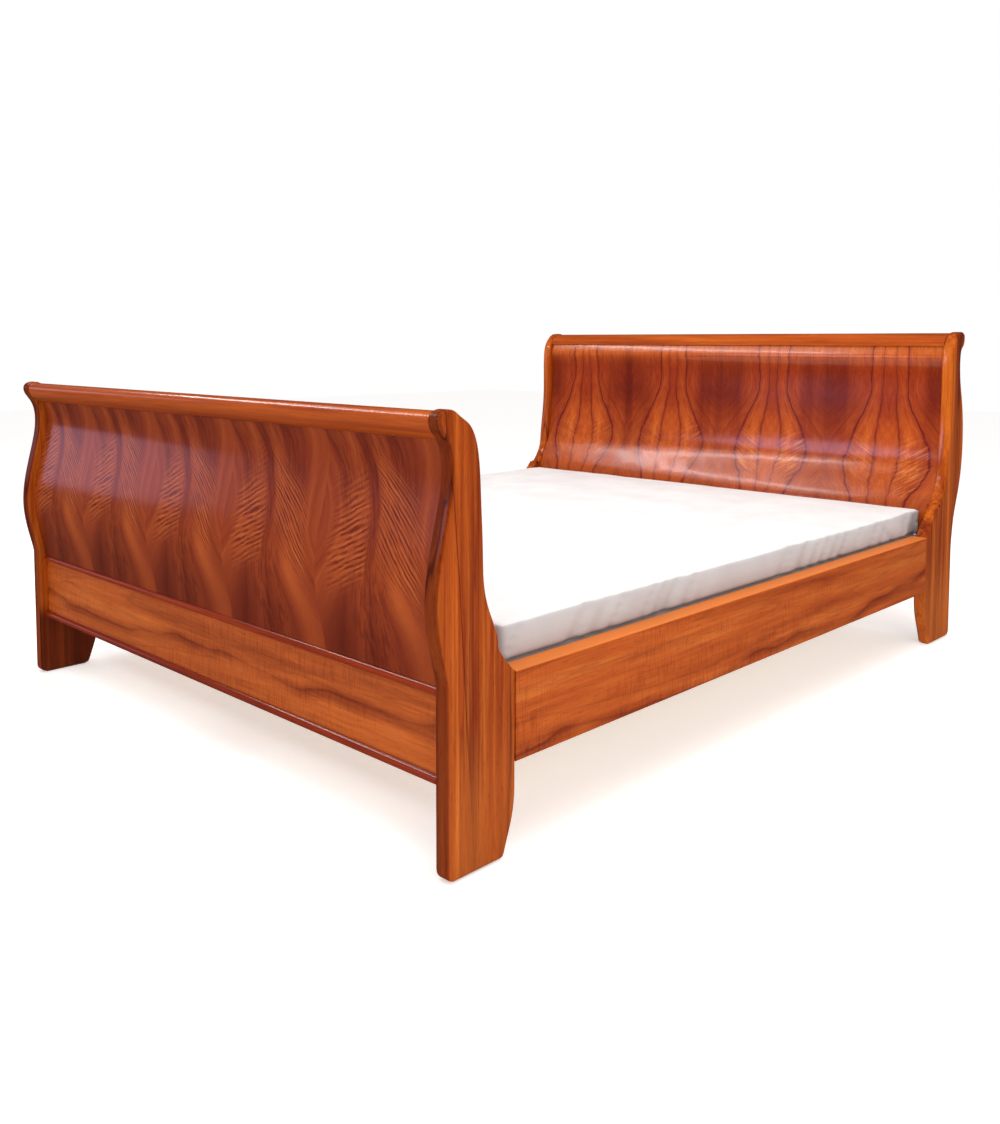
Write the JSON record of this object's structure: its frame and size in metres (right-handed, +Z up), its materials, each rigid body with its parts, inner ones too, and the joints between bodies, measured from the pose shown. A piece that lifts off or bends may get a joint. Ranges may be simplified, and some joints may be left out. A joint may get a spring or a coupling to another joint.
{
  "type": "sleigh bed",
  "caption": "Sleigh bed with scrolled head and foot, curved panels, plain side rails, a slatted base on a centre beam, and a lift-out mattress.",
  "frame": {"origin": "on the floor, under the middle of the overall box", "axes": "+Z up, +Y along the bed towards the head, +X across the bed towards its right side seen from the foot"},
  "size_m": [1.94, 2.573, 1.094],
  "materials": {
    "base_timber": "planed softwood",
    "felt": "pressed felt",
    "foot_veneer": "gloss lacquer over feather-figured veneer",
    "glide_plastic": "moulded nylon",
    "head_veneer": "gloss lacquer over matched figured veneer",
    "joinery_timber": "beech, unfinished",
    "mattress_cover": "white woven cover, soft",
    "plated_steel": "zinc plated",
    "polished_board": "gloss lacquer over red-brown figured timber, grain lengthways",
    "polished_moulding": "gloss lacquer over orange-brown timber, grain lengthways",
    "polished_post": "gloss lacquer over red-brown figured timber, grain upright",
    "slat_timber": "planed softwood",
    "zinc_screws": "zinc plated"
  },
  "bodies": {
    "bedstead": {"centre_beam": "base_timber", "centre_leg_bolts": "zinc_screws", "centre_leg_foot": "base_timber", "centre_leg_glides": "glide_plastic", "centre_leg_head": "base_timber", "centre_leg_middle": "base_timber", "cleat_screws": "zinc_screws", "foot_apron": "polished_board", "foot_bead_bottom": "polished_moulding", "foot_bead_top": "polished_moulding", "foot_beam_hanger": "plated_steel", "foot_dowels": "joinery_timber", "foot_panel": "foot_veneer", "foot_panel_tongue": "joinery_timber", "foot_post_left": "polished_post", "foot_post_right": "polished_post", "foot_post_slots_left": "plated_steel", "foot_post_slots_right": "plated_steel", "foot_rail_hook_left": "plated_steel", "foot_rail_hook_right": "plated_steel", "foot_top_rail": "polished_moulding", "hanger_screws": "zinc_screws", "head_apron": "polished_board", "head_beam_hanger": "plated_steel", "head_cap_rail": "polished_moulding", "head_dowels": "joinery_timber", "head_panel": "head_veneer", "head_panel_tongue": "joinery_timber", "head_post_left": "polished_post", "head_post_right": "polished_post", "head_post_slots_left": "plated_steel", "head_post_slots_right": "plated_steel", "head_rail_hook_left": "plated_steel", "head_rail_hook_right": "plated_steel", "post_felt_pads": "felt", "post_plate_screws": "zinc_screws", "rail_plate_screws": "zinc_screws", "side_rail_left": "polished_board", "side_rail_right": "polished_board", "slat_01": "slat_timber", "slat_02": "slat_timber", "slat_03": "slat_timber", "slat_04": "slat_timber", "slat_05": "slat_timber", "slat_06": "slat_timber", "slat_07": "slat_timber", "slat_08": "slat_timber", "slat_09": "slat_timber", "slat_10": "slat_timber", "slat_11": "slat_timber", "slat_12": "slat_timber", "slat_13": "slat_timber", "slat_14": "slat_timber", "slat_cleat_left": "base_timber", "slat_cleat_right": "base_timber", "slat_screws": "zinc_screws"},
    "mattress_body": {"mattress": "mattress_cover"}
  },
  "joints": [
    {"name": "mattress_lift", "type": "slide", "parent": "bedstead", "child": "mattress_body", "axis": [0, 0, 1], "range_m": [0, 0.9]}
  ]
}
